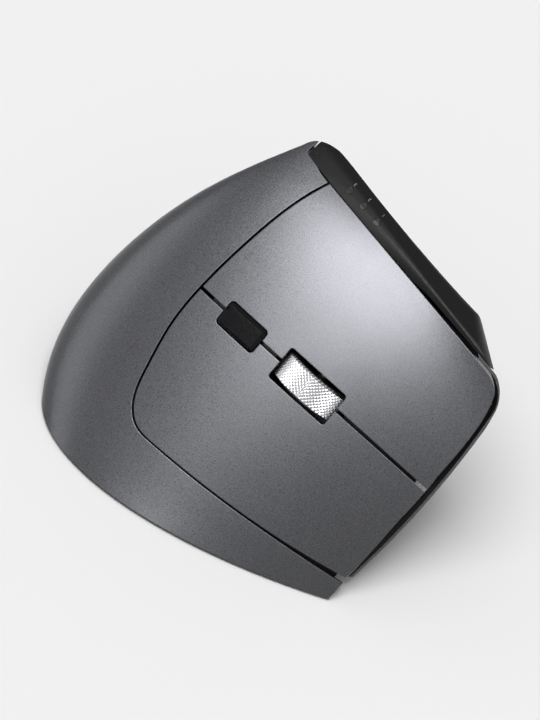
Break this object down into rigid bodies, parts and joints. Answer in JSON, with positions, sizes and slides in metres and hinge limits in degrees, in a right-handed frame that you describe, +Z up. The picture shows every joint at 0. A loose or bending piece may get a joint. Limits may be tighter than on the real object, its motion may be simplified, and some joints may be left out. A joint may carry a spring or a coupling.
{
  "type": "vertical ergonomic mouse",
  "caption": "Right-handed vertical mouse: leaning grey palm shell, two hinged button plates, knurled scroll wheel and black thumb panel.",
  "frame": {"origin": "middle of the footprint, on the surface that the feet rest on", "axes": "+Z up, +Y to the front where the buttons end, +X to the finger side"},
  "size_m": [0.0744, 0.1034, 0.0705],
  "materials": {
    "satin_grey": "satin metallic grey coat over moulded plastic",
    "soft_black": "fine matt moulded black",
    "gloss_black": "smooth black with a bevelled edge",
    "bright_metal": "bright knurled metal",
    "steel": "plain zinc-plated steel",
    "inner_black": "moulded black, unpainted",
    "board_green": "solder mask on laminate",
    "chip_black": "moulded package",
    "case_black": "moulded switch case",
    "case_pale": "moulded pale switch button",
    "clear": "clear moulded plastic",
    "lamp": "clear moulded lamp",
    "cell": "film wrap on a pouch cell",
    "glide": "smooth low-friction sheet",
    "label_white": "moulded plain knob"
  },
  "bodies": {
    "housing": {"palm_shell": "satin_grey", "thumb_panel": "soft_black", "button_frame": "inner_black", "base_plate": "inner_black", "click_switch": "case_black", "dpi_switch": "case_black", "button_board": "board_green", "microswitch_cases": "case_black", "hinge_pins": "steel", "board_screws": "steel", "case_screws": "steel", "light_pipes": "clear", "indicator_lamps": "lamp", "side_board": "board_green", "side_switches": "case_black", "main_board": "board_green", "sensor_lens": "clear", "sensor_chip": "chip_black", "radio_chip": "chip_black", "controller_chip": "chip_black", "power_switch": "case_black", "pair_switch": "case_black", "battery_cell": "cell", "charge_inlet": "steel", "rear_foot": "glide", "front_foot": "glide"},
    "index_button": {"index_button": "satin_grey"},
    "middle_button": {"middle_button": "satin_grey"},
    "index_plunger": {"index_plunger": "case_pale"},
    "middle_plunger": {"middle_plunger": "case_pale"},
    "dpi_button": {"dpi_button": "gloss_black"},
    "forward_button": {"forward_button": "satin_grey"},
    "back_button": {"back_button": "satin_grey"},
    "wheel_mount": {"wheel_carrier": "inner_black", "wheel_axle": "steel", "wheel_encoder": "case_black"},
    "wheel": {"wheel_rim": "bright_metal", "wheel_hub": "inner_black"},
    "power_slider": {"power_slider": "label_white"},
    "pair_button": {"pair_button": "label_white"}
  },
  "joints": [
    {"name": "index_press", "type": "hinge", "parent": "housing", "child": "index_button", "pos_m": [-0.00518, -0.01707, 0.03456], "axis": [-0.6567, 0.0242, 0.7537], "range_deg": [0, 0.6], "stiffness_Nm_per_rad": 2},
    {"name": "middle_press", "type": "hinge", "parent": "housing", "child": "middle_button", "pos_m": [-0.00518, -0.01707, 0.03456], "axis": [-0.6567, 0.0242, 0.7537], "range_deg": [0, 0.6], "stiffness_Nm_per_rad": 2},
    {"name": "index_plunge", "type": "slide", "parent": "housing", "child": "index_plunger", "axis": [-0.7481, -0.1472, -0.6471], "range_m": [0, 0.00042]},
    {"name": "middle_plunge", "type": "slide", "parent": "housing", "child": "middle_plunger", "axis": [-0.7481, -0.1472, -0.6471], "range_m": [0, 0.00042]},
    {"name": "dpi_press", "type": "slide", "parent": "housing", "child": "dpi_button", "axis": [-0.7481, -0.1472, -0.6471], "range_m": [0, 0.0005], "stiffness_N_per_m": 1500},
    {"name": "wheel_click", "type": "slide", "parent": "housing", "child": "wheel_mount", "axis": [-0.7481, -0.1472, -0.6471], "range_m": [0, 0.0004], "stiffness_N_per_m": 2500},
    {"name": "wheel_spin", "type": "hinge", "parent": "wheel_mount", "child": "wheel", "pos_m": [-0.00785, 0.01062, 0.03134], "axis": [-0.6567, 0.0242, 0.7537], "continuous": true},
    {"name": "forward_press", "type": "slide", "parent": "housing", "child": "forward_button", "axis": [1, 0, 0], "range_m": [0, 0.0005], "stiffness_N_per_m": 1500},
    {"name": "back_press", "type": "slide", "parent": "housing", "child": "back_button", "axis": [1, 0, 0], "range_m": [0, 0.0005], "stiffness_N_per_m": 1500},
    {"name": "power_slide", "type": "slide", "parent": "housing", "child": "power_slider", "axis": [0, 1, 0], "range_m": [0, 0.003]},
    {"name": "pair_press", "type": "slide", "parent": "housing", "child": "pair_button", "axis": [0, 0, 1], "range_m": [0, 0.0003], "stiffness_N_per_m": 3000}
  ],
  "couplings": [
    {"joint": "index_plunge", "follows": "index_press", "m_per_rad": 0.04},
    {"joint": "middle_plunge", "follows": "middle_press", "m_per_rad": 0.04}
  ]
}
